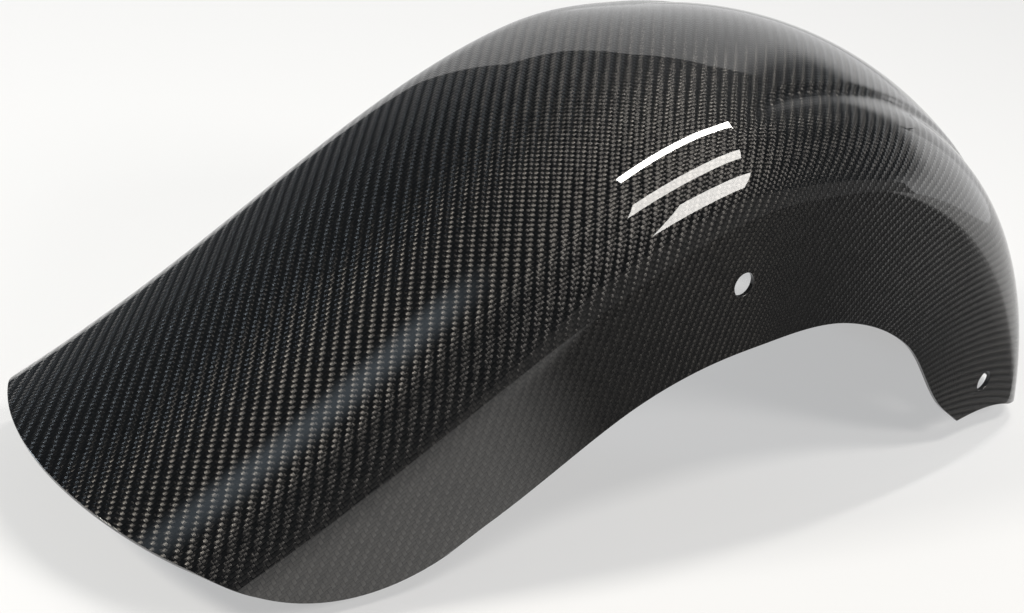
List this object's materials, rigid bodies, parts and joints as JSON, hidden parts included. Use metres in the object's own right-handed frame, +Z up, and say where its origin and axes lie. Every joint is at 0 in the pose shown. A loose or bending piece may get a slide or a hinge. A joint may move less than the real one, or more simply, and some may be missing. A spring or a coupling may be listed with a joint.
{
  "type": "motorcycle rear fender",
  "caption": "Moulded rear fender for a motorcycle: an arched twill shell with a stepped shoulder, deep side walls, a flared tail and mounting holes through its side walls.",
  "frame": {"origin": "centre of the footprint's length and width, at the level of the tail corners and the toe as the part stands by itself", "axes": "+X from the tail towards the front toe, +Y across towards the left wall, +Z up"},
  "size_m": [0.8272, 0.2682, 0.2881],
  "materials": {
    "fender": "woven carbon twill under a glossy clear coat"
  },
  "bodies": {
    "root": {"fender": "fender"}
  },
  "joints": []
}
